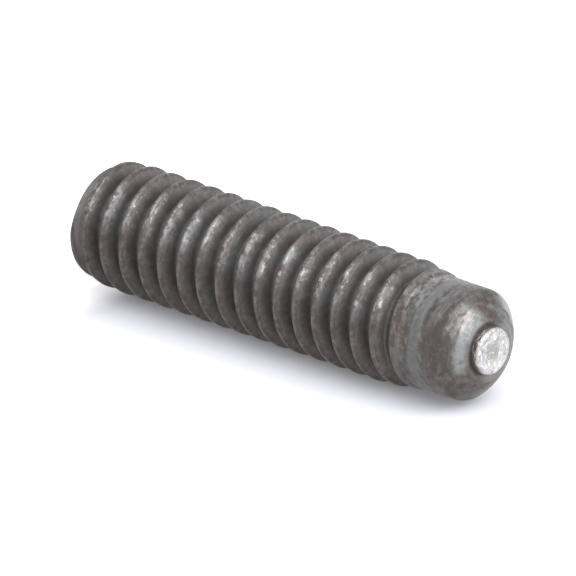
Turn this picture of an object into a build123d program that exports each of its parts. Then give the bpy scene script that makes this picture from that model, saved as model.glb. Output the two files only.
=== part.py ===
"""Weld stud: a fully threaded steel stud with a plain, cone-ended weld end and an aluminium flux slug.

Millimetres. The stud stands on its flat threaded end: +Z runs along its axis to the weld end,
and the origin is the centre of the end it stands on.
"""
from build123d import *
import math
import os

# Whole stud
overall_length = 25.4
# Thread: 1/4-20 UNC, right-handed
major_diameter = 6.35
pitch = 25.4 / 20
flank_angle = 30.0
crest_flat = pitch / 8
thread_depth = 0.6134 * pitch
crest_height_at_x = pitch / 2
# Threaded end, where the ridge is low and the groove is shallow; each inset is from the thread's outside
end_face_inset = 0.325
end_knee_inset = 0.105
end_knee_height = 0.5
end_taper_length = 1.9
end_core_inset = 0.475
end_core_fade = 0.9
# Plain shank, and the run-out where the ridge sinks into it and the groove rises to it; each drop is from the tip
shank_inset = 0.325
ridge_end_drop = 3.7
runout_length = 1.8
groove_end_drop = 4.2
groove_rise_length = 1.7
# Weld end
corner_drop = 1.27
corner_radius = 0.4
lip_width = 0.375
lip_drop = 0.3
lip_bevel = 0.1
dish_depth = 0.15
# Flux slug, seated in a blind hole
slug_diameter = 2.45
slug_depth = 1.9
slug_bevel = 0.1
slug_clearance = 0.0
# How far a shape is carried past or into its neighbour, so that the two join or part cleanly
overlap = 0.1

major_radius = major_diameter / 2
root_radius = major_radius - thread_depth
end_face_radius = major_radius - end_face_inset
end_knee_radius = major_radius - end_knee_inset
end_core_radius = major_radius - end_core_inset
shank_radius = major_radius - shank_inset
ridge_end = overall_length - ridge_end_drop
groove_end = overall_length - groove_end_drop
slug_radius = slug_diameter / 2
hole_radius = slug_radius + slug_clearance
lip_radius = hole_radius + lip_width
hole_floor = overall_length - slug_depth
corner_height = overall_length - corner_drop
lip_height = overall_length - lip_drop
dish_height = lip_height - dish_depth
buried_radius = root_radius - overlap
ridge_half_width = crest_flat / 2 + (major_radius - buried_radius) * math.tan(math.radians(flank_angle))
turns = math.ceil((ridge_end - crest_height_at_x) / pitch)
sunk_radius = shank_radius - overlap / 5
runout_spread = overlap * runout_length / (major_radius - sunk_radius)

with BuildPart() as stud_body:
    # The thread: a core, and a ridge swept round it turn by turn from below the end to past the run-out.
    with Locations((0, 0, -pitch)):
        Cylinder(root_radius, groove_end - groove_rise_length + 2 * pitch, align=(Align.CENTER, Align.CENTER, Align.MIN))
    for turn in range(-2, turns):
        crest_height = crest_height_at_x + turn * pitch
        with BuildLine():
            Helix(pitch, pitch, major_radius, center=(0, 0, crest_height))
        with BuildSketch(Plane.XZ):
            with BuildLine():
                Polyline(
                    (buried_radius, crest_height - ridge_half_width),
                    (major_radius, crest_height - crest_flat / 2),
                    (major_radius, crest_height + crest_flat / 2),
                    (buried_radius, crest_height + ridge_half_width),
                    close=True,
                )
            make_face()
        sweep(is_frenet=True)
    # The threaded end: everything below the flat end and outside its two tapers comes off.
    with BuildSketch(Plane.XZ):
        with BuildLine():
            Polyline(
                (0, 0),
                (end_face_radius, 0),
                (end_knee_radius, end_knee_height),
                (major_radius + overlap / 5, end_taper_length),
                (major_diameter, end_taper_length),
                (major_diameter, -3 * pitch),
                (0, -3 * pitch),
                close=True,
            )
        make_face()
    revolve(axis=Axis.Z, mode=Mode.SUBTRACT)
    # The run-out: the ridge is turned down along a cone until it is lost in the shank.
    with BuildSketch(Plane.XZ):
        with BuildLine():
            ridge_top = (turns + 2) * pitch
            Polyline(
                (major_radius + overlap, ridge_end - runout_length - runout_spread),
                (sunk_radius, ridge_end),
                (sunk_radius, ridge_top),
                (major_diameter, ridge_top),
                (major_diameter, ridge_end - runout_length - runout_spread),
                close=True,
            )
        make_face()
    revolve(axis=Axis.Z, mode=Mode.SUBTRACT)
    # The shallow groove at the threaded end.
    with BuildSketch(Plane.XZ):
        with BuildLine():
            Polyline(
                (0, 0),
                (end_core_radius, 0),
                (buried_radius, end_core_fade),
                (0, end_core_fade),
                close=True,
            )
        make_face()
    revolve(axis=Axis.Z)
    # The shank and the coned weld end, with the dished ring and the blind hole for the slug.
    with BuildSketch(Plane.XZ) as weld_end:
        with BuildLine():
            Polyline(
                (0, groove_end - groove_rise_length),
                (buried_radius, groove_end - groove_rise_length),
                (shank_radius, groove_end),
                (shank_radius, corner_height),
                (lip_radius, lip_height),
                (hole_radius, dish_height),
                (hole_radius, hole_floor),
                (0, hole_floor),
                close=True,
            )
        make_face()
        fillet(weld_end.vertices().sort_by_distance((shank_radius, corner_height))[0], corner_radius)
        chamfer(weld_end.vertices().sort_by_distance((lip_radius, lip_height))[0], lip_bevel)
    revolve(axis=Axis.Z)
stud_body.part.label = "stud_body"

with BuildPart() as flux_slug:
    with BuildSketch(Plane.XY.offset(hole_floor)):
        Circle(slug_radius)
    extrude(amount=slug_depth)
    chamfer(flux_slug.faces().sort_by(Axis.Z)[-1].edges(), slug_bevel)
flux_slug.part.label = "flux_slug"

os.makedirs("parts", exist_ok=True)
export_step(stud_body.part, "parts/stud_body.step")
export_step(flux_slug.part, "parts/flux_slug.step")
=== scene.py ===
"""The weld stud's looks: a rolled, oxide-dark stud with a bright flux slug in its coned weld end."""

import math

import bmesh
import bpy
from mathutils import Matrix, Vector


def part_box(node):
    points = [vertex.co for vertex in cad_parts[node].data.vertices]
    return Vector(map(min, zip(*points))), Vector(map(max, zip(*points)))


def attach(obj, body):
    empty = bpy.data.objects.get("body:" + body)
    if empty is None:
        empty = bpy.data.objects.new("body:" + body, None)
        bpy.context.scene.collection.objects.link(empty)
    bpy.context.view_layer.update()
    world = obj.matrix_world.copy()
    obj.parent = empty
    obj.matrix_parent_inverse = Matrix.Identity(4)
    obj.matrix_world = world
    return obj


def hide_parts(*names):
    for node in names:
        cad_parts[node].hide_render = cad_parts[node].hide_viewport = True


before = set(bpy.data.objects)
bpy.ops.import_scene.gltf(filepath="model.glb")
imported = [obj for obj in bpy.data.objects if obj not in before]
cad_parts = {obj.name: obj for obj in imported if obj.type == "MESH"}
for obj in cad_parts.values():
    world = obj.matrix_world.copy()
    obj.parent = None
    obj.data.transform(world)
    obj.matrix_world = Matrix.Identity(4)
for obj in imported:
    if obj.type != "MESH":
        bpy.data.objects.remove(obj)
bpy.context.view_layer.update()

MM = 0.001
Z = Vector((0, 0, 1))


class Number:
    """A socket that can be used in sums, in a shader or in a geometry tree."""

    def __init__(self, tree, socket):
        self.tree = tree
        self.socket = socket

    def __add__(self, other):
        return self.tree.math("ADD", self, other)

    __radd__ = __add__

    def __sub__(self, other):
        return self.tree.math("SUBTRACT", self, other)

    def __rsub__(self, other):
        return self.tree.math("SUBTRACT", other, self)

    def __mul__(self, other):
        return self.tree.math("MULTIPLY", self, other)

    __rmul__ = __mul__

    def __truediv__(self, other):
        return self.tree.math("DIVIDE", self, other)

    def __rtruediv__(self, other):
        return self.tree.math("DIVIDE", other, self)

    def __pow__(self, other):
        return self.tree.math("POWER", self, other)

    def __neg__(self):
        return self.tree.math("MULTIPLY", self, -1.0)


class Tree:
    """A node tree that is written as expressions."""

    def __init__(self, owner):
        self.nodes = owner.nodes
        self.links = owner.links

    def plug(self, value, socket):
        """Links a socket or an expression, or sets a plain value."""
        if isinstance(value, Number):
            self.links.new(value.socket, socket)
        elif isinstance(value, bpy.types.NodeSocket):
            self.links.new(value, socket)
        else:
            socket.default_value = value

    def node(self, kind, settings=None, **sockets):
        """A node of any kind: its settings first, then its sockets.

        A socket goes by its name, with _ for a space, or by its place, as in0.
        """
        made = self.nodes.new(kind)
        for name, value in (settings or {}).items():
            setattr(made, name, value)
        for name, value in sockets.items():
            by_place = name.startswith("in") and name[2:].isdigit()
            self.plug(value, made.inputs[int(name[2:]) if by_place else name.replace("_", " ")])
        return made

    def math(self, operation, *values):
        sockets = {f"in{place}": value for place, value in enumerate(values)}
        return Number(self, self.node("ShaderNodeMath", {"operation": operation}, **sockets).outputs[0])

    def least(self, a, b, blend=0.0):
        return self.math("SMOOTH_MIN", a, b, blend) if blend else self.math("MINIMUM", a, b)

    def most(self, a, b, blend=0.0):
        return self.math("SMOOTH_MAX", a, b, blend) if blend else self.math("MAXIMUM", a, b)

    def ramp(self, value, low, high):
        """0 at low, 1 at high, eased in between; low may be the larger."""
        eased = {"interpolation_type": "SMOOTHSTEP"}
        made = self.node("ShaderNodeMapRange", eased, in0=value, in1=low, in2=high, in3=0.0, in4=1.0)
        return Number(self, made.outputs[0])

    def between(self, value, foot, full, full_end, foot_end):
        """1 from full to full_end, eased to 0 at foot and at foot_end."""
        return self.ramp(value, foot, full) * self.ramp(value, foot_end, full_end)

    def mix(self, share, a, b):
        """A colour between two colours."""
        a, b = ((*colour, 1) if isinstance(colour, tuple) else colour for colour in (a, b))
        return self.node("ShaderNodeMix", {"data_type": "RGBA"}, in0=share, in6=a, in7=b).outputs[2]

    def scaled(self, vector, factor):
        made = self.node("ShaderNodeVectorMath", {"operation": "SCALE"}, in0=vector, Scale=factor)
        return made.outputs[0]

    def parts(self, vector):
        """The X, Y and Z of a vector."""
        split = self.node("ShaderNodeSeparateXYZ", Vector=vector)
        return [Number(self, split.outputs[place]) for place in range(3)]

    def noise(self, where, scale, detail, roughness=0.5, seed=None):
        """Smooth noise around 0.5; a seed picks another pattern."""
        settings = {}
        sockets = {"Vector": where, "Scale": scale, "Detail": detail, "Roughness": roughness}
        if seed is not None:
            settings["noise_dimensions"] = "4D"
            sockets["W"] = seed
        return Number(self, self.node("ShaderNodeTexNoise", settings, **sockets).outputs["Fac"])


# ---------------------------------------------------------------- sizes, in millimetres
body_low, body_high = (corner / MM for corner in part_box("stud_body"))
slug_low, slug_high = (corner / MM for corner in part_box("flux_slug"))
tip_height = slug_high.z

# Thread: its profile, with each side's share of the crest's flat and the curve of its flank
major_radius = (body_high.x - body_low.x) / 2
pitch = 1.27
thread_depth = 0.6134 * pitch
flank_angle = 30
crest_flat = pitch / 8
crest_height_at_x = pitch / 2
crest_swell = 0.012
upper_flat_share = 0.2
lower_flat_share = 0.45
upper_flank_power = 1.32
lower_flank_power = 1.08
flank_reach = 1.2
root_round = 0.12

# Threaded end: a short and a long taper turn the ridge down, and the groove starts shallow
end_face_radius = 2.85
end_knee_radius = 3.07
end_knee_height = 0.5
end_taper_rise = 0.0893
end_core_radius = 2.7
end_core_fall = 0.449
knee_round = 0.05
taper_round = 0.04
end_core_round = 0.02
# The long taper's outside, carried down to the end's face, from which wear is measured
worn_taper_radius = 3.03

# Run-out: a cone turns the ridge down while the groove rises to the shank
shank_radius = 2.85
runout_start = tip_height - 5.5
runout_fall = 0.1917
runout_round = 0.05
groove_rise_start = tip_height - 5.3
groove_rise_radius = 2.35
groove_rise = 0.4
groove_rise_round = 0.12
joint_height = tip_height - 3.2

# How softly the ridge meets the core: along the thread, how much more in the run-out, and at the joint
foot_round = 0.15
foot_round_more = 0.3
foot_round_joint = 0.01
foot_softens = (tip_height - 5.1, tip_height - 4.6)
foot_sharpens = (tip_height - 3.4, tip_height - 3.9)

# Weld end: a rounded corner, a slightly bowed cone, and a rounded lip round the dished ring
corner_drop = 1.27
corner_height = tip_height - corner_drop
corner_radius = 0.4
cone_bow = 0.07
lip_radius = 1.6
lip_height = tip_height - 0.3
lip_round = 0.12
lip_centre = (lip_radius - 0.05, lip_height - 0.13)
lip_end_angle = 100

# Slug, seated in its hole, which opens in the middle of the dish
slug_radius = (slug_high.x - slug_low.x) / 2
hole_floor = slug_low.z
hole_radius = slug_radius + 0.002
dish_height = lip_height - 0.15
dish_edge = (slug_radius + 0.06, dish_height + 0.05)
hole_edge = (hole_radius, dish_height + 0.03)
slug_lift = 0.01
slug_rim = 0.2
slug_dip = 0.09
slug_steps = 27

# How fine the meshes are, how near points are merged, and where unevenness fades out at each end
columns = 144
rows_per_turn = 32
wrap_merge = 0.0005
joint_merge = 0.001
fade_at_bottom = 0.3
fade_at_top = 0.1

# The way that the stud's front faces; the camera looks at this side
bearing = math.radians(78.0)

# Where the finish, its painted highlights and its painted shade change along the stud, as drops from the
# tip, and on the cone, as radii
shank_from = (4.8, 4.0)
thread_from = (3.9, 4.5)
bluish_band_drops = (2.4, 2.65, 3.05, 3.3)
corner_brown_drops = (0.8, 1.0, 2.2, 2.6)
runout_highlight_low = (4.4, 4.1)
runout_highlight_high = (3.1, 3.5)
cone_front_highlight_radii = (1.5, 1.85, 2.08, 2.35)
cone_streak_highlight_radii = (1.92, 2.03, 2.1, 2.22)
cone_back_highlight_from = (2.1, 2.3)
lip_ring_from = (lip_radius + 0.2, lip_radius - 0.05)
end_edge_below = (0.5, 0.2)


# ---------------------------------------------------------------- shapes
def in_scene(name, data):
    """An object at the origin for a mesh, a lamp or a camera."""
    made = bpy.data.objects.new(name, data)
    bpy.context.scene.collection.objects.link(made)
    return made


def geometry_tree(name, values):
    """An empty geometry tree with a named input for each value.

    Returns the tree, its expressions and the identifier of each input.
    """
    group = bpy.data.node_groups.new(name, "GeometryNodeTree")
    for way in ("INPUT", "OUTPUT"):
        group.interface.new_socket("Geometry", in_out=way, socket_type="NodeSocketGeometry")
    identifiers = {}
    for label, value in values.items():
        kind = "NodeSocketInt" if isinstance(value, int) else "NodeSocketFloat"
        made = group.interface.new_socket(label, in_out="INPUT", socket_type=kind)
        identifiers[label] = made.identifier
    return group, Tree(group), identifiers


def inputs_of(t, values):
    """A geometry tree's own geometry, and its named inputs as expressions."""
    given = t.node("NodeGroupInput")
    return given.outputs["Geometry"], {label: Number(t, given.outputs[label]) for label in values}


def end_tree(t, geometry, material):
    """Ends a geometry tree in real geometry that wears one material."""
    real = t.node("GeometryNodeRealizeInstances", Geometry=geometry)
    dressed = t.node("GeometryNodeSetMaterial", Geometry=real.outputs[0], Material=material)
    t.node("NodeGroupOutput", in0=dressed.outputs[0])


def made_by(group, identifiers, values, start):
    """Runs a geometry tree on an object and keeps the result as a plain mesh."""
    modifier = start.modifiers.new(group.name, "NODES")
    modifier.node_group = group
    for label, value in values.items():
        modifier[identifiers[label]] = value
    depsgraph = bpy.context.evaluated_depsgraph_get()
    mesh = bpy.data.meshes.new_from_object(start.evaluated_get(depsgraph))
    start.modifiers.clear()
    old = start.data
    start.data = mesh
    bpy.data.meshes.remove(old)
    return start


def runout_radius(outside, height):
    """The cone that turns the ridge down at the run-out."""
    return outside - runout_fall * (height - runout_start)


def ridge_radius(t, size, height, round_share):
    """The rolled ridge at a height and a share of the turn, turned down at both ends."""
    turn_share = (height - size["Crest height at X"]) / size["Pitch"] - round_share
    off_crest = t.math("WRAP", turn_share, 0.5, -0.5) * size["Pitch"]
    flank_run = size["Depth"] * math.tan(math.radians(flank_angle))
    upper_flank = (off_crest - size["Crest flat"] * upper_flat_share) / flank_run
    lower_flank = (-off_crest - size["Crest flat"] * lower_flat_share) / flank_run
    upper_flank = t.least(t.most(upper_flank, 0.0), flank_reach)
    lower_flank = t.least(t.most(lower_flank, 0.0), flank_reach)
    fall = upper_flank**upper_flank_power + lower_flank**lower_flank_power
    drop = t.least(size["Depth"] * fall, size["Depth"], root_round)
    ridge = size["Major radius"] + crest_swell - drop
    short_taper = end_face_radius + (end_knee_radius - end_face_radius) / end_knee_height * height
    long_taper = end_knee_radius + end_taper_rise * (height - end_knee_height)
    ridge = t.least(ridge, t.least(short_taper, long_taper, knee_round), taper_round)
    return t.least(ridge, runout_radius(size["Major radius"], height), runout_round)


def core_radius(t, size, height):
    """The floor of the groove where it is not the ridge's own root: at the end and in the run-out."""
    at_end = end_core_radius - end_core_fall * height
    rise = groove_rise_radius + groove_rise * (height - groove_rise_start)
    at_runout = t.least(rise, size["Shank radius"], groove_rise_round)
    return t.most(at_end, at_runout, end_core_round)


def rolled_thread(material):
    """The threaded wall, from the threaded end to the plain shank: rows that climb with the helix."""
    rows = math.ceil((joint_height + pitch) * rows_per_turn / pitch) + 1
    values = {
        "Pitch": pitch,
        "Major radius": major_radius,
        "Depth": thread_depth,
        "Crest flat": crest_flat,
        "Crest height at X": crest_height_at_x,
        "Shank radius": shank_radius,
        "Top": joint_height,
        "Rows": rows,
        "Columns": columns,
        "Rows per turn": rows_per_turn,
    }
    group, t, names = geometry_tree("Rolled thread", values)
    size = inputs_of(t, values)[1]
    grid = t.node("GeometryNodeMeshGrid", Size_X=1.0, Size_Y=1.0)
    t.plug(size["Rows"], grid.inputs["Vertices X"])
    t.plug(size["Columns"] + 1, grid.inputs["Vertices Y"])
    grid_x, grid_y = t.parts(t.node("GeometryNodeInputPosition").outputs[0])[:2]
    row = (grid_x + 0.5) * (size["Rows"] - 1)
    round_share = grid_y + 0.5
    climb = (row / size["Rows per turn"] - 1 + round_share) * size["Pitch"]
    height = t.least(t.most(climb, 0.0), size["Top"])
    foot = t.ramp(height, *foot_softens) * foot_round_more + foot_round
    foot = foot * t.ramp(height, *foot_sharpens) + foot_round_joint
    radius = t.most(ridge_radius(t, size, height, round_share), core_radius(t, size, height), foot)
    angle = round_share * (2 * math.pi)
    spot = t.node(
        "ShaderNodeCombineXYZ",
        X=radius * t.math("COSINE", angle) * MM,
        Y=radius * t.math("SINE", angle) * MM,
        Z=height * MM,
    )
    moved = t.node("GeometryNodeSetPosition", Geometry=grid.outputs["Mesh"], Position=spot.outputs[0])
    welded = t.node("GeometryNodeMergeByDistance", Geometry=moved.outputs[0], Distance=wrap_merge * MM)
    end_tree(t, welded.outputs[0], material)
    return made_by(group, names, values, in_scene("thread_wall", bpy.data.meshes.new("thread_wall")))


def unevenness(piece, material, values):
    """Small lumps and dents of a rolled or pressed surface, along its normals, between two heights."""
    group, t, names = geometry_tree("Unevenness", values)
    geometry, size = inputs_of(t, values)
    here = t.scaled(t.node("GeometryNodeInputPosition").outputs[0], 1 / MM)
    height = t.parts(here)[2]
    lump = (t.noise(here, scale=0.9, detail=2.0, seed=size["Seed"]) - 0.5) * size["Lumps"]
    speck = (t.noise(here, scale=4.5, detail=2.0, seed=size["Seed"] + 3) - 0.5) * size["Grain"]
    fade = t.ramp(height, size["Bottom"], size["Bottom"] + fade_at_bottom)
    fade = fade * t.ramp(height, size["Top"], size["Top"] - fade_at_top)
    push = t.scaled(t.node("GeometryNodeInputNormal").outputs[0], (lump + speck) * fade * MM)
    moved = t.node("GeometryNodeSetPosition", Geometry=geometry, Offset=push)
    end_tree(t, moved.outputs[0], material)
    return made_by(group, names, values, piece)


def turned(name, meridian, material):
    """A surface of revolution from (radius, height) points in millimetres; a radius of 0 closes it."""
    mesh = bpy.data.meshes.new(name)
    shape = bmesh.new()
    rings = []
    for radius, height in meridian:
        if radius == 0:
            rings.append([shape.verts.new((0, 0, height * MM))])
            continue
        ring = []
        for column in range(columns):
            angle = 2 * math.pi * column / columns
            spot = (radius * math.cos(angle) * MM, radius * math.sin(angle) * MM, height * MM)
            ring.append(shape.verts.new(spot))
        rings.append(ring)
    for lower, upper in zip(rings[:-1], rings[1:]):
        for column in range(columns):
            after = (column + 1) % columns
            if len(lower) == 1:
                shape.faces.new((lower[0], upper[after], upper[column]))
            elif len(upper) == 1:
                shape.faces.new((lower[column], lower[after], upper[0]))
            else:
                shape.faces.new((lower[column], lower[after], upper[after], upper[column]))
    shape.to_mesh(mesh)
    shape.free()
    mesh.materials.append(material)
    return in_scene(name, mesh)


def arc(centre, radius, start, end, steps):
    """Points (radius, height) on an arc about a centre, between two angles above the outward direction."""
    points = []
    for step in range(steps + 1):
        angle = math.radians(start + (end - start) * step / steps)
        points.append((centre[0] + radius * math.cos(angle), centre[1] + radius * math.sin(angle)))
    return points


def bowed(start, end, rise, steps):
    """Points on a shallow outward bow between two points, without the first."""
    length = math.dist(start, end)
    out = ((end[1] - start[1]) / length, (start[0] - end[0]) / length)
    points = []
    for step in range(1, steps + 1):
        share = step / steps
        lift = 4 * rise * share * (1 - share)
        points.append(tuple(a + (b - a) * share + o * lift for a, b, o in zip(start, end, out)))
    return points


def straight(start, end, steps):
    """Points between two points, without the first."""
    return bowed(start, end, 0, steps)


def weld_end_meridian():
    """From the plain shank over the rounded corner and the cone to the dished ring, and down the hole."""
    cone = math.degrees(math.atan2(lip_height - corner_height, shank_radius - lip_radius))
    setback = corner_radius * math.tan(math.radians((90 - cone) / 2))
    centre = (shank_radius - corner_radius, corner_height - setback)
    lip = arc(lip_centre, lip_round, 90 - cone, lip_end_angle, 6)
    points = [(shank_radius, joint_height)]
    points += straight(points[0], (shank_radius, centre[1]), 8)
    points += arc(centre, corner_radius, 0, 90 - cone, 10)[1:]
    points += bowed(points[-1], lip[0], cone_bow, 14)
    points += lip[1:]
    points += straight(points[-1], dish_edge, 5)
    points += straight(points[-1], hole_edge, 1)
    points += straight(points[-1], (hole_radius, hole_floor), 3)
    points.append((0, hole_floor))
    return points


def slug_meridian():
    """The slug: its wall, a rounded rim and a face that dips in the middle."""
    rim_centre = (slug_radius - slug_rim, tip_height - slug_rim)
    points = [(0, hole_floor + slug_lift), (slug_radius, hole_floor + slug_lift)]
    points += straight(points[-1], (slug_radius, rim_centre[1]), 6)
    points += arc(rim_centre, slug_rim, 0, 90, 8)[1:]
    for step in range(1, slug_steps):
        share = 1 - step / slug_steps
        dip = slug_dip * (1 - share**2) ** 1.5
        points.append((rim_centre[0] * share, tip_height - dip))
    points.append((0, tip_height - slug_dip))
    return points


def joined(name, pieces, material):
    """One closed mesh from several that meet at their rims, with the open end capped."""
    shape = bmesh.new()
    for piece in pieces:
        shape.from_mesh(piece.data)
    bmesh.ops.remove_doubles(shape, verts=shape.verts, dist=joint_merge * MM)
    open_rim = [edge for edge in shape.edges if edge.is_boundary]
    bmesh.ops.holes_fill(shape, edges=open_rim, sides=0)
    bmesh.ops.recalc_face_normals(shape, faces=shape.faces)
    mesh = bpy.data.meshes.new(name)
    shape.to_mesh(mesh)
    shape.free()
    mesh.materials.append(material)
    for piece in pieces:
        bpy.data.objects.remove(piece)
    return in_scene(name, mesh)


def smooth(piece, sharp_from):
    """Smooth shading, with an edge kept sharp from an angle in degrees."""
    for face in piece.data.polygons:
        face.use_smooth = True
    piece.data.set_sharp_from_angle(angle=math.radians(sharp_from))


# ---------------------------------------------------------------- colours of the finishes, linear
warm_oxide = (0.104, 0.083, 0.075)
cool_oxide = (0.107, 0.109, 0.105)
dark_scale = (0.072, 0.060, 0.056)
rubbed_scale = (0.21, 0.20, 0.195)
pale_mottle = (0.208, 0.199, 0.193)
dark_mottle = (0.066, 0.057, 0.053)
shank_band = (0.163, 0.166, 0.164)
turned_dark = (0.068, 0.058, 0.054)
scuff_and_top_highlight = (0.29, 0.295, 0.298)
bluish_band = (0.172, 0.188, 0.19)
corner_brown = (0.076, 0.062, 0.058)
runout_highlight = (0.28, 0.28, 0.277)
cone_front_highlight = (0.265, 0.28, 0.282)
cone_streak_highlight = (0.35, 0.33, 0.32)
cone_back_highlight = (0.40, 0.40, 0.37)
lip_ring_shade = (0.17, 0.152, 0.143)
lip_ring_light = (0.30, 0.29, 0.27)
groove_painted_light = (0.145, 0.148, 0.146)
shoulder_painted_light = (0.202, 0.198, 0.194)
dull_brown = (0.075, 0.062, 0.057)
underside_shade_brown = (0.066, 0.050, 0.045)
back_painted_light = (0.25, 0.243, 0.236)
end_edge_painted_light = (0.215, 0.195, 0.185)
blue_sheen = (0.235, 0.252, 0.26)
worn_crest_highlight = (0.36, 0.35, 0.34)
bare_fleck_glint = (0.52, 0.51, 0.50)
slug_bright = (0.68, 0.67, 0.68)
slug_grey = (0.46, 0.445, 0.44)
slug_dimple = (0.40, 0.385, 0.375)
slug_centre = (0.40, 0.41, 0.35)
slug_glint = (0.92, 0.91, 0.92)
slug_edge = (0.40, 0.385, 0.38)
slug_wall = (0.34, 0.31, 0.295)


# ---------------------------------------------------------------- finishes
def finish_tree(name):
    """A new material, its tree and the place on the piece in millimetres."""
    material = bpy.data.materials.new(name)
    material.use_nodes = True
    material.node_tree.nodes.clear()
    t = Tree(material.node_tree)
    spot = t.node("ShaderNodeTexCoord").outputs["Object"]
    return material, t, t.scaled(spot, 1 / MM)


def metal_surface(t, colour, roughness, bumps, metallic, strength):
    """The surface shader of a metal; the bumps are heights in millimetres."""
    bump = t.node("ShaderNodeBump", Strength=strength, Distance=1.0, Height=bumps * MM)
    shader = t.node(
        "ShaderNodeBsdfPrincipled",
        Base_Color=colour,
        Metallic=metallic,
        Roughness=roughness,
        Normal=bump.outputs[0],
    )
    t.node("ShaderNodeOutputMaterial", Surface=shader.outputs[0])


class StudPlace:
    """Where a point of the stud is, and the noises and zones that its marks share.

    The drop is measured from the tip. Facing is 1 on the stud's front, upward is 1 on the side
    that is uppermost as the stud lies, and a ragged value gives a mark an uneven edge.
    """

    def __init__(self, t, here):
        x, y, self.height = t.parts(here)
        self.drop = tip_height - self.height
        self.radius = t.math("SQRT", x * x + y * y)
        self.patches = t.noise(here, scale=0.9, detail=5.0, roughness=0.7)
        self.blotches = t.noise(here, scale=2.2, detail=4.0, roughness=0.65)
        self.mottle = t.noise(here, scale=3.2, detail=3.0, roughness=0.55)
        self.flecks = t.noise(here, scale=5.0, detail=2.0, roughness=0.55)
        self.fine = t.noise(here, scale=13.0, detail=2.0, roughness=0.6)
        squeeze = {"operation": "MULTIPLY"}
        round_marks = t.node("ShaderNodeVectorMath", squeeze, in0=here, in1=(0.25, 0.25, 1.0)).outputs[0]
        self.bands = t.noise(round_marks, scale=1.9, detail=3.0, roughness=0.6)
        self.turning = t.noise(round_marks, scale=4.6, detail=1.0)
        ragged = (self.blotches - 0.5) * 0.9
        self.ragged_drop = self.drop - ragged * 0.8
        self.ragged_radius = self.radius + ragged * 0.5
        off_axis = self.radius + 0.01
        self.facing = (x * math.cos(bearing) + y * math.sin(bearing)) / off_axis + ragged * 0.25
        self.upward = (x * math.sin(bearing) - y * math.cos(bearing)) / off_axis
        crest = t.least(worn_taper_radius + end_taper_rise * self.height, major_radius)
        crest = t.least(crest, runout_radius(major_radius, self.height))
        self.below_crest = crest - self.radius
        self.on_shank = t.ramp(self.drop, *shank_from)
        self.on_cone = t.ramp(self.drop, corner_drop + 0.25, corner_drop)
        self.on_thread = t.ramp(self.drop, *thread_from)
        self.underside = t.ramp(self.upward, 0.0, -0.35) * t.ramp(self.facing, -0.5, -0.1)


def oxide_blotches(t, at):
    """The oxide under all other marks: warm and cool, with dark and rubbed blotches."""
    colour = t.mix(t.ramp(at.patches, 0.46, 0.62), warm_oxide, cool_oxide)
    colour = t.mix(t.ramp(at.blotches, 0.46, 0.64) * (at.on_shank * 0.3 + 0.3), colour, dark_scale)
    colour = t.mix(t.ramp(at.blotches, 0.46, 0.34) * (at.on_shank * 0.4 + 0.1), colour, rubbed_scale)
    colour = t.mix(t.ramp(at.mottle, 0.48, 0.64) * (0.5 - at.on_shank * 0.15), colour, pale_mottle)
    return t.mix(t.ramp(at.mottle, 0.46, 0.36) * 0.35, colour, dark_mottle)


def shank_marks(t, at, colour):
    """Bands, turning marks and scuffs round the plain shank, with a painted highlight on the scuffs of its
    upper side; a bluish band, stronger on the upper side as a painted sheen; a brown corner, darker on the
    lower side as painted shade; and a painted highlight by the run-out.
    """
    colour = t.mix(at.on_shank * t.ramp(at.bands, 0.46, 0.60) * 0.5, colour, shank_band)
    colour = t.mix(at.on_shank * t.ramp(at.turning, 0.50, 0.66) * 0.4, colour, turned_dark)
    # Scuffs: real marks, with a painted highlight on the upper side where the light falls
    scuffed_and_highlit = at.on_shank * t.ramp(at.turning, 0.46, 0.36) * t.ramp(at.upward, -0.2, 0.3)
    colour = t.mix(scuffed_and_highlit * 0.32, colour, scuff_and_top_highlight)
    # A bluish band of the oxide, stronger on the upper side as a painted sheen
    bluish = t.between(at.ragged_drop, *bluish_band_drops)
    colour = t.mix(bluish * (t.ramp(at.upward, 0.15, 0.4) * 0.25 + 0.4), colour, bluish_band)
    # A brown corner of the oxide, darker on the lower side as painted shade
    corner = t.between(at.ragged_drop, *corner_brown_drops)
    below = t.between(at.upward, -0.6, -0.42, -0.05, 0.2)
    colour = t.mix(corner * (below * 0.52 + 0.25), colour, corner_brown)
    # A painted highlight on the upper side of the shank by the run-out, broken up by the mottle
    at_runout = t.ramp(at.drop, *runout_highlight_low) * t.ramp(at.ragged_drop, *runout_highlight_high)
    at_runout = at_runout * t.ramp(at.upward, 0.2, 0.5)
    return t.mix(at_runout * t.ramp(at.mottle, 0.38, 0.66) * 0.7, colour, runout_highlight)


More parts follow.
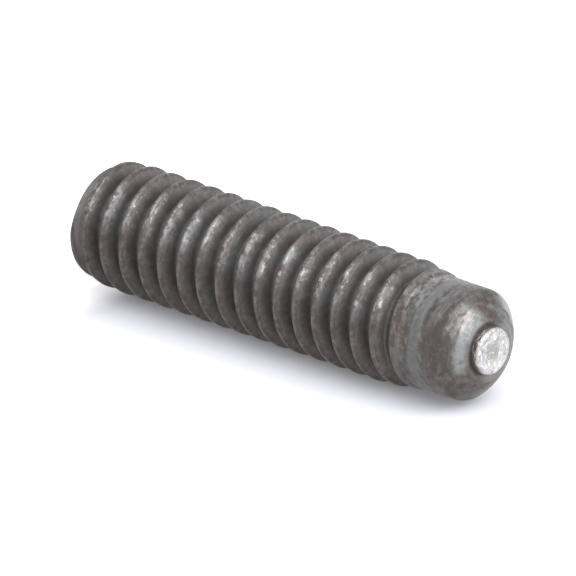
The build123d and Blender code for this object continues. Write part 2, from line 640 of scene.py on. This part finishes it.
def cone_marks(t, at, colour):
    """Painted highlights on the cone, a patch and a streak on the front and a patch behind, and the lip's
    ring with painted shade on its front and painted light behind.
    """
    # A painted highlight on the front of the cone, broken up by the mottle
    patch = at.on_cone * t.between(at.ragged_radius, *cone_front_highlight_radii)
    patch = patch * t.ramp(at.facing, 0.5, 0.8)
    colour = t.mix(patch * (t.ramp(at.mottle, 0.36, 0.56) * 0.4 + 0.5), colour, cone_front_highlight)
    # A painted highlight: a streak across the front of the cone, further out on the upper side
    slant = at.ragged_radius - at.upward * 0.38
    streak = at.on_cone * t.between(slant, *cone_streak_highlight_radii)
    streak = streak * t.between(at.upward, 0.05, 0.25, 0.6, 0.78) * t.ramp(at.facing, 0.5, 0.7)
    colour = t.mix(streak * 0.65, colour, cone_streak_highlight)
    # A painted highlight on the upper back of the cone
    behind = at.on_cone * t.ramp(at.ragged_radius, *cone_back_highlight_from)
    behind = behind * t.ramp(at.facing, 0.0, -0.3) * t.ramp(at.upward, 0.2, 0.6)
    colour = t.mix(behind * 0.8, colour, cone_back_highlight)
    # The lip's ring: brown painted shade on its front, where the dish lies in shadow
    ring = at.on_cone * t.ramp(at.radius, *lip_ring_from)
    colour = t.mix(ring * t.ramp(at.facing, -0.3, 0.5) * 0.5, colour, lip_ring_shade)
    # and painted light on the ring's back, where the dish faces the light
    return t.mix(ring * t.ramp(at.facing, 0.1, -0.5) * 0.6, colour, lip_ring_light)


def thread_shades(t, at, colour):
    """Painted light in the thread's grooves and on its shoulders, darker brown towards the upper side,
    painted shade on the underside and painted light on the back.
    """
    # The grooves painted lighter, standing in for light that their shade keeps out
    groove = t.ramp(at.below_crest, 0.3, 0.7) * at.on_thread
    colour = t.mix(groove * 0.55, colour, groove_painted_light)
    # The shoulders painted lighter, so that the flanks stay bright down to mid-depth as painted light
    shoulder = t.between(at.below_crest, 0.06, 0.2, 0.4, 0.62) * at.on_thread
    colour = t.mix(shoulder * 0.36, colour, shoulder_painted_light)
    dull = t.between(at.upward, 0.42, 0.55, 0.72, 0.85) * at.on_thread
    colour = t.mix(dull * 0.4, colour, dull_brown)
    # Brown painted shade on the underside, where the stud lies
    colour = t.mix(at.underside * at.on_thread * 0.4, colour, underside_shade_brown)
    # Painted light on the back of the thread, where the backdrop shades it
    colour = t.mix(t.ramp(at.facing, -0.1, -0.5) * at.on_thread * 0.45, colour, back_painted_light)
    # Painted light near the threaded end, where the floor shades it
    return t.mix(t.ramp(at.height, *end_edge_below) * 0.55, colour, end_edge_painted_light)


def thread_wear(t, at, colour):
    """Painted sheen on the shoulders, worn crests with a painted highlight, and bare flecks painted as
    glints, most of them on the lit side.
    """
    # The side that faces the light, where painted sheen, highlights and glints gather
    lit_side = t.between(at.upward, -0.2, 0.1, 0.45, 0.7) * at.on_thread
    # Painted sheen in blue-grey patches on the shoulders
    sheen = t.ramp(at.bands, 0.47, 0.57) * t.ramp(at.blotches, 0.56, 0.46)
    sheen = sheen * t.ramp(at.below_crest, 0.5, 0.35)
    colour = t.mix(sheen * lit_side * 0.5, colour, blue_sheen)
    # Worn crests, with a painted highlight line that is brighter on the lit side
    worn = t.ramp(at.below_crest, 0.06, 0.01) * at.on_thread * t.ramp(at.blotches, 0.60, 0.42)
    colour = t.mix(worn * (lit_side * 0.35 + 0.12), colour, worn_crest_highlight)
    # Bare flecks painted as glints, mostly on the lit side
    bare = t.ramp(at.flecks, 0.58, 0.66) * t.ramp(at.blotches, 0.58, 0.44)
    bare = bare * t.ramp(at.below_crest, 0.45, 0.3)
    return t.mix(bare * (lit_side * 0.32 + 0.06), colour, bare_fleck_glint)


def oxide_steel():
    """Rolled steel under a dark oxide, brown and grey in blotches and rubbed bright in places, with
    painted highlights, sheen, light and shade laid over it.
    """
    material, t, here = finish_tree("Oxide-dark steel")
    at = StudPlace(t, here)
    colour = oxide_blotches(t, at)
    for marks in (shank_marks, cone_marks, thread_shades, thread_wear):
        colour = marks(t, at, colour)
    deep = t.ramp(at.below_crest, 0.12, 0.35) * at.on_thread
    groove = t.ramp(at.below_crest, 0.3, 0.7) * at.on_thread
    shiny = t.ramp(at.flecks, 0.50, 0.62) * (1 - deep) * (1 - at.underside)
    roughness = 0.42 - shiny * 0.13 + deep * 0.08 + groove * 0.15 + (at.patches - 0.5) * 0.25
    bumps = (at.flecks - 0.5) * 0.014 + (at.fine - 0.5) * 0.006 + (at.mottle - 0.5) * 0.03
    metal_surface(t, colour, roughness, bumps * (1 - deep * 0.8), metallic=0.85, strength=0.9)
    return material


def bright_slug():
    """Pressed aluminium: bright and dimpled, greyer in the middle, at the rim and down the wall."""
    material, t, here = finish_tree("Bright aluminium")
    dimples = t.noise(here, scale=3.2, detail=3.0, roughness=0.6)
    flecks = t.noise(here, scale=4.2, detail=3.0, roughness=0.55)
    x, y, height = t.parts(here)
    radius = t.math("SQRT", x * x + y * y)
    centre = t.ramp(radius + (dimples - 0.5) * 1.1, 0.6, 0.3)
    rim = t.ramp(radius + (flecks - 0.5) * 0.3, slug_radius - 0.3, slug_radius - 0.05)
    wall = t.ramp(height + (flecks - 0.5) * 0.15, tip_height - 0.04, tip_height - 0.15)
    colour = t.mix(t.ramp(flecks, 0.45, 0.62), slug_bright, slug_grey)
    colour = t.mix(t.ramp(dimples, 0.46, 0.66) * 0.45, colour, slug_dimple)
    colour = t.mix(centre * 0.7, colour, slug_centre)
    colour = t.mix(t.ramp(dimples, 0.44, 0.36), colour, slug_glint)
    colour = t.mix(rim * 0.5, colour, slug_edge)
    colour = t.mix(wall * 0.9, colour, slug_wall)
    roughness = 0.30 + (flecks - 0.5) * 0.2
    bumps = (dimples - 0.5) * 0.16 + (flecks - 0.5) * 0.07
    metal_surface(t, colour, roughness, bumps, metallic=0.9, strength=1.0)
    return material


# ---------------------------------------------------------------- pieces
steel = oxide_steel()
aluminium = bright_slug()

weld_end = turned("weld_end", weld_end_meridian(), steel)
stud = joined("stud_skin", [rolled_thread(steel), weld_end], steel)
rolled = {"Seed": 2.0, "Lumps": 0.03, "Grain": 0.012, "Bottom": 0.0, "Top": tip_height - 0.1}
smooth(unevenness(stud, steel, rolled), sharp_from=50)

slug = turned("slug_skin", slug_meridian(), aluminium)
pressed = {"Seed": 7.0, "Lumps": 0.07, "Grain": 0.05, "Bottom": tip_height - 0.35, "Top": tip_height + 1}
smooth(unevenness(slug, aluminium, pressed), sharp_from=60)

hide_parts("stud_body")
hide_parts("flux_slug")
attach(stud, "root")
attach(slug, "root")

# ---------------------------------------------------------------- camera
# The view shows the stud lying down: the tip leans towards the camera and slopes down to the right
tilt = math.radians(38.2)
slope = math.radians(19.0)
width_seen = 28.235
tip_right_of_middle = 10.1077
tip_below_middle = 3.1274
camera_distance = 300

side = Vector((math.cos(bearing), math.sin(bearing), 0))
back = side * math.cos(tilt) + Z * math.sin(tilt)
axis_seen = Z * math.cos(tilt) - side * math.sin(tilt)
across = back.cross(axis_seen)
right = axis_seen * math.cos(slope) + across * math.sin(slope)
up = across * math.cos(slope) - axis_seen * math.sin(slope)


def still_camera():
    """A camera without perspective, with the tip to the lower right of the middle of its view."""
    made = in_scene("camera", bpy.data.cameras.new("camera"))
    made.data.type = "ORTHO"
    made.data.ortho_scale = width_seen * MM
    made.data.clip_start = 0.01
    made.data.clip_end = 5
    middle = Z * tip_height - right * tip_right_of_middle + up * tip_below_middle
    turn = Matrix((right, up, back)).transposed().to_4x4()
    made.matrix_world = Matrix.Translation((middle + back * camera_distance) * MM) @ turn
    return made


bpy.context.scene.camera = still_camera()

# ---------------------------------------------------------------- stage and light
# The backdrop is the table that the stud seems to lie on: it passes just clear of the thread
lean = math.atan2(math.sin(tilt), math.tan(slope))
table_up = side * math.cos(lean) + side.cross(Z) * math.sin(lean)
table_gap = 0.05
sheet_reach = 400
foot_glow_height = 2.5
table_white = (0.80, 0.81, 0.86, 1)
cool_light = (0.96, 0.97, 1.0, 1)
white_light = (1, 1, 1, 1)


def seen_by_camera(t):
    """1 for rays from the camera or through glass, and 0 for all other rays."""
    path = t.node("ShaderNodeLightPath")
    return t.most(Number(t, path.outputs["Is Camera Ray"]), Number(t, path.outputs["Is Transmission Ray"]))


def pale(name, dimness, glow, foot_glow=0.0, open_share=None):
    """White to the camera, apart from the stud's shadow, and a plain sheet to all other rays.

    Dimness is the plain sheet's lightness. The glow lifts the white, and the foot glow adds to
    it near the floor. With an open share, the sheet is clear from behind, and lets that share
    of the other rays through from its front.
    """
    material, t, here = finish_tree(name)
    seen = seen_by_camera(t)
    plain = t.node("ShaderNodeBsdfDiffuse", Color=(dimness, dimness, dimness, 1))
    white = t.node("ShaderNodeBsdfDiffuse", Color=table_white)
    sheet = t.node("ShaderNodeMixShader", in0=seen, in1=plain.outputs[0], in2=white.outputs[0])
    by_floor = t.ramp(t.parts(here)[2], foot_glow_height, 0.0)
    bright = t.node("ShaderNodeEmission", Color=white_light, Strength=1.0)
    lift = t.node("ShaderNodeMixShader", in0=seen * (by_floor * foot_glow + glow), in2=bright.outputs[0])
    surface = t.node("ShaderNodeAddShader", in0=sheet.outputs[0], in1=lift.outputs[0]).outputs[0]
    if open_share is not None:
        behind = Number(t, t.node("ShaderNodeNewGeometry").outputs["Backfacing"])
        clear = t.node("ShaderNodeBsdfTransparent").outputs[0]
        through = t.most(behind, (1 - seen) * open_share)
        surface = t.node("ShaderNodeMixShader", in0=through, in1=surface, in2=clear).outputs[0]
    t.node("ShaderNodeOutputMaterial", Surface=surface)
    return material


def stage_sheet(name, origin, first, second, material):
    """A flat sheet of the stage that faces first x second."""
    mesh = bpy.data.meshes.new(name)
    signs = ((-1, -1), (1, -1), (1, 1), (-1, 1))
    corners = [(origin + (first * a + second * b) * sheet_reach) * MM for a, b in signs]
    mesh.from_pydata(corners, [], [(0, 1, 2, 3)])
    mesh.materials.append(material)
    in_scene(name, mesh)


def softbox(name, direction, reach, size, power):
    """A round soft lamp that looks at the middle of the stud."""
    made = in_scene(name, bpy.data.lights.new(name, "AREA"))
    made.data.shape = "DISK"
    made.data.size = size * MM
    made.data.energy = power
    made.location = (Z * tip_height / 2 + direction.normalized() * reach) * MM
    made.rotation_mode = "QUATERNION"
    made.rotation_quaternion = direction.to_track_quat("Z", "Y")


def studio_light():
    """A soft, slightly cool light from all sides; the camera sees it as white."""
    world = bpy.data.worlds.new("studio")
    world.use_nodes = True
    world.node_tree.nodes.clear()
    t = Tree(world.node_tree)
    light = t.node("ShaderNodeBackground", Color=cool_light, Strength=1.2)
    white = t.node("ShaderNodeBackground", Color=white_light, Strength=1.0)
    both = t.node("ShaderNodeMixShader", in0=seen_by_camera(t), in1=light.outputs[0], in2=white.outputs[0])
    t.node("ShaderNodeOutputWorld", Surface=both.outputs[0])
    return world


floor_material = pale("Pale floor", dimness=0.8, glow=0.7)
stage_sheet("floor", Vector((0, 0, 0)), Vector((1, 0, 0)), Vector((0, 1, 0)), floor_material)
backdrop_material = pale("Pale backdrop", dimness=0.82, glow=0.06, foot_glow=0.6, open_share=0.3)
backdrop_middle = Z * sheet_reach - table_up * (major_radius + table_gap)
stage_sheet("backdrop", backdrop_middle, Z.cross(table_up), Z, backdrop_material)
softbox("key", table_up * 0.7 + Z * 0.8 + side * 0.1, reach=250, size=300, power=0.50)
softbox("glint", table_up * 0.9 - Z * 0.38 + side * 0.35, reach=300, size=100, power=0.32)
bpy.context.scene.world = studio_light()
bpy.context.scene.view_settings.view_transform = "Standard"
